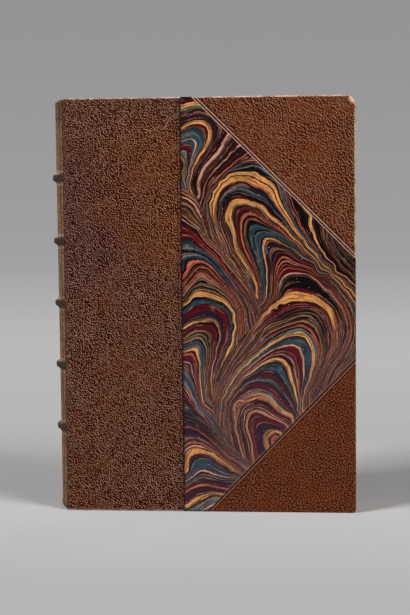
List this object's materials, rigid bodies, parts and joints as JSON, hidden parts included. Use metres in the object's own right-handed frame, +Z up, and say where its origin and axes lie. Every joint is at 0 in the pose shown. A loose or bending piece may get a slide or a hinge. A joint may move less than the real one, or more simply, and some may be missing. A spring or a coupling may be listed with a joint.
{
  "type": "half-leather book with leather corners",
  "caption": "Hardback book in half leather with leather corners and marbled paper sides, a rounded spine with raised bands and two hinged covers, standing upright.",
  "frame": {"origin": "bottom centre of the whole book, on the surface that it stands on", "axes": "+X from the spine to the fore-edge, +Y through the thickness from the front cover to the back cover, +Z up from tail to head"},
  "size_m": [0.167, 0.0336, 0.225],
  "materials": {
    "side_leather": "brown goatskin with a long grain",
    "corner_leather": "brown goatskin with a finer grain",
    "spine_leather": "goatskin faded to tan",
    "marbled_paper": "combed marbling, lightly burnished",
    "endpaper": "plain cream laid paper",
    "leaves": "cut leaves, toned at the edges",
    "silk": "silk thread in two colours",
    "lining": "brown paper lining",
    "board": "grey-brown millboard",
    "band_core": "undyed leather strip"
  },
  "bodies": {
    "block": {"text_block": "leaves", "front_flyleaf": "endpaper", "back_flyleaf": "endpaper", "headband": "silk", "tailband": "silk", "spine_lining": "lining", "spine_leather": "spine_leather", "raised_band_1": "band_core", "raised_band_2": "band_core", "raised_band_3": "band_core", "raised_band_4": "band_core", "raised_band_5": "band_core"},
    "front_cover": {"front_board": "board", "front_side_leather": "side_leather", "front_head_corner": "corner_leather", "front_tail_corner": "corner_leather", "front_marbled_paper": "marbled_paper", "front_pastedown": "endpaper"},
    "back_cover": {"back_board": "board", "back_side_leather": "side_leather", "back_head_corner": "corner_leather", "back_tail_corner": "corner_leather", "back_marbled_paper": "marbled_paper", "back_pastedown": "endpaper"}
  },
  "joints": [
    {"name": "front_joint", "type": "hinge", "parent": "block", "child": "front_cover", "pos_m": [-0.07345, -0.0166, 0.1125], "axis": [0, 0, -1], "range_deg": [0, 180]},
    {"name": "back_joint", "type": "hinge", "parent": "block", "child": "back_cover", "pos_m": [-0.07345, 0.0166, 0.1125], "axis": [0, 0, 1], "range_deg": [0, 180]}
  ]
}
